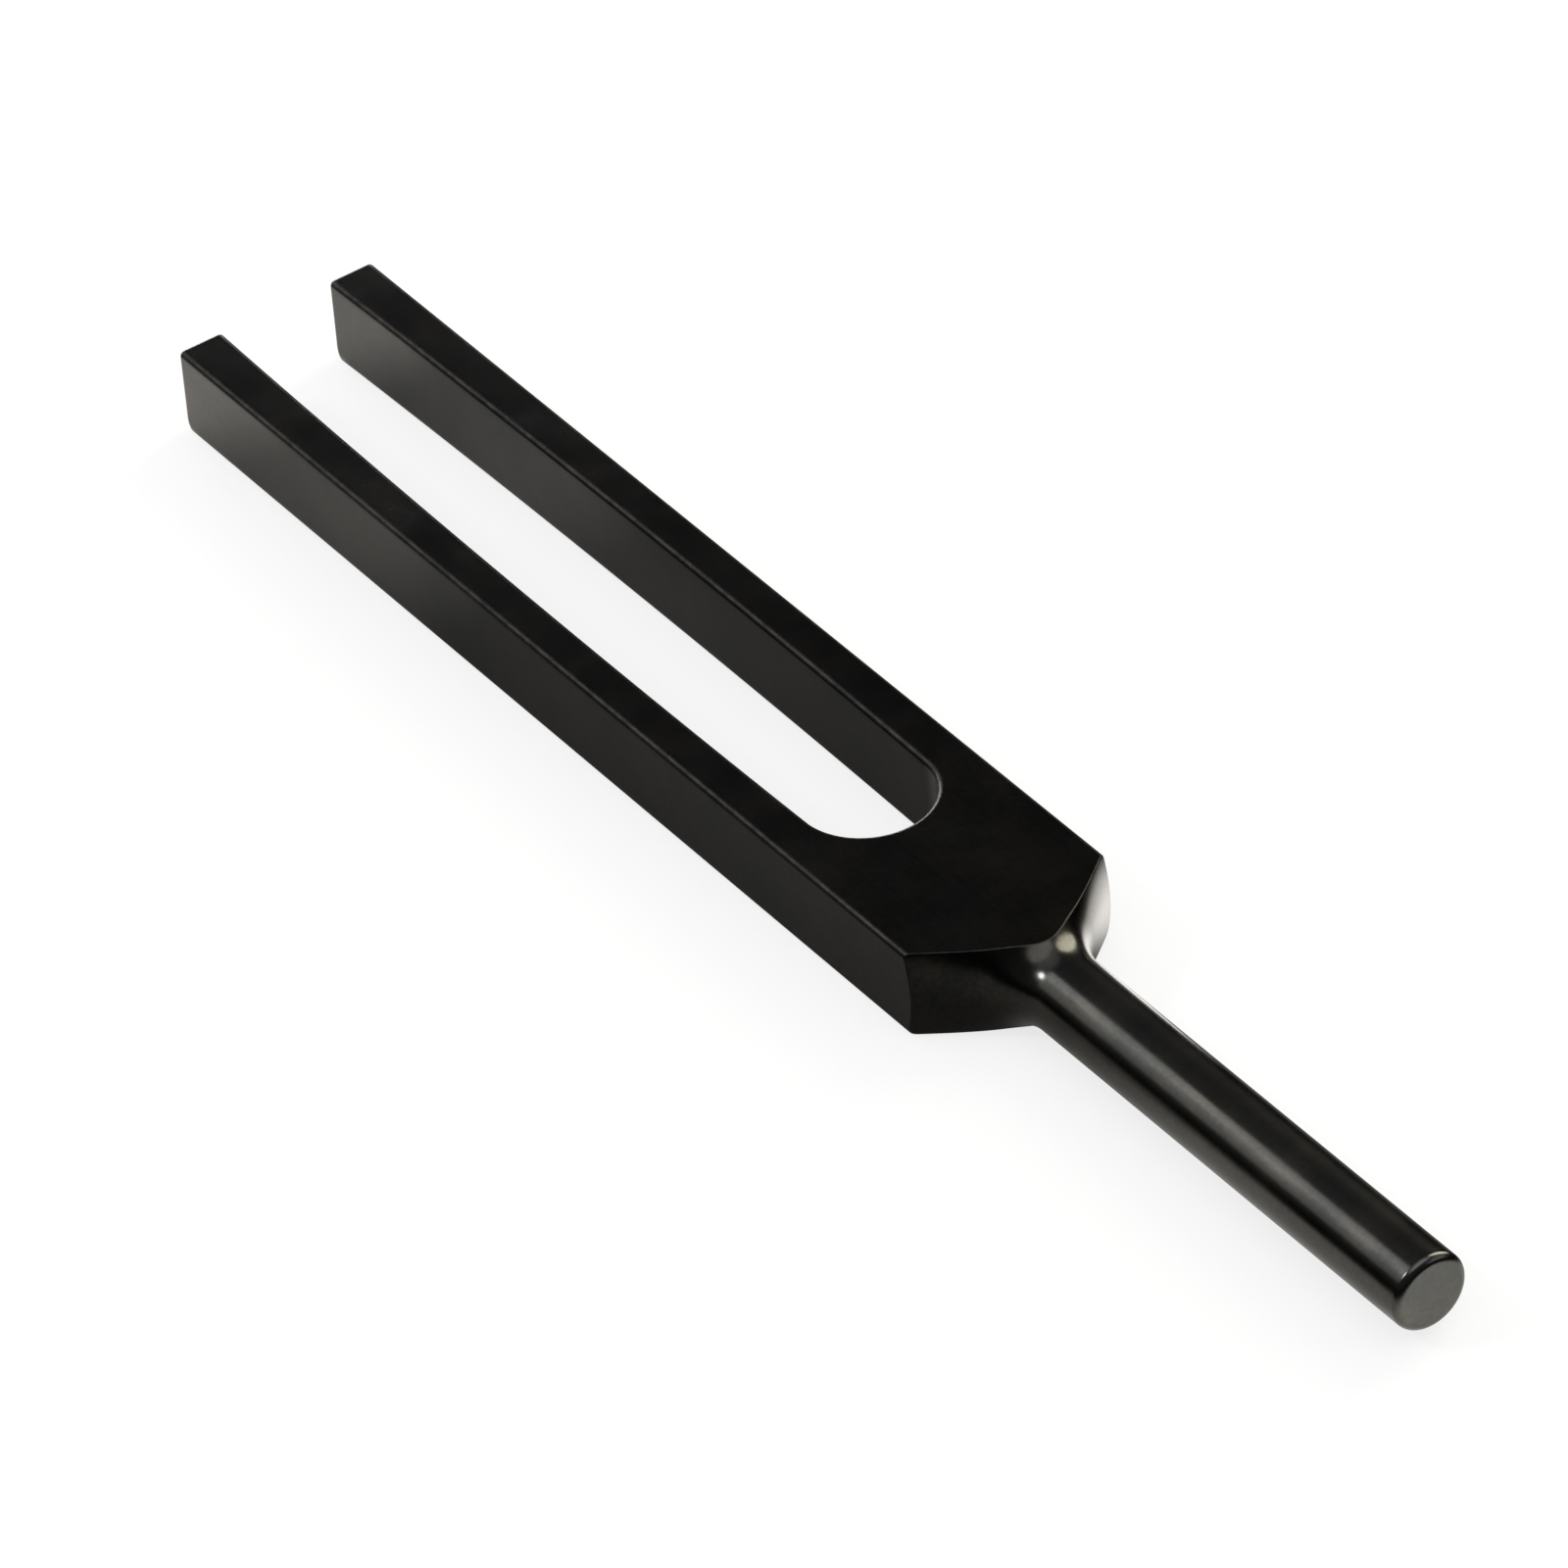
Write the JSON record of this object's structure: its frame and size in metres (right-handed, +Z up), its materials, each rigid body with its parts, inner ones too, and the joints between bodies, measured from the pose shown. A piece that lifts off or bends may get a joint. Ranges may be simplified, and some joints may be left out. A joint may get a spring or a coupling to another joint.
{
  "type": "tuning fork",
  "caption": "Tuning fork: rectangular tines either side of a round-rooted slot, a turned sloping shoulder and a round stem whose foot passes the tone on.",
  "frame": {"origin": "under the middle of the fork's length and width, on the surface that it lies on", "axes": "+Y from the foot of the stem to the tips of the tines, +X across the tines to the right one, +Z up through the thickness"},
  "size_m": [0.019, 0.1536, 0.008],
  "materials": {
    "black_anodised": "gloss"
  },
  "bodies": {
    "handle": {"yoke": "black_anodised", "stem": "black_anodised"},
    "left_tine": {"left_tine": "black_anodised"},
    "right_tine": {"right_tine": "black_anodised"}
  },
  "joints": [
    {"name": "left_tine_flex", "type": "hinge", "parent": "handle", "child": "left_tine", "pos_m": [-0.00755, -0.00575, 0.004], "axis": [0, 0, 1], "range_deg": [-0.5, 0.5], "stiffness_Nm_per_rad": 120},
    {"name": "right_tine_flex", "type": "hinge", "parent": "handle", "child": "right_tine", "pos_m": [0.00755, -0.00575, 0.004], "axis": [0, 0, 1], "range_deg": [-0.5, 0.5], "stiffness_Nm_per_rad": 120}
  ],
  "couplings": [
    {"joint": "right_tine_flex", "follows": "left_tine_flex", "ratio": -1}
  ]
}
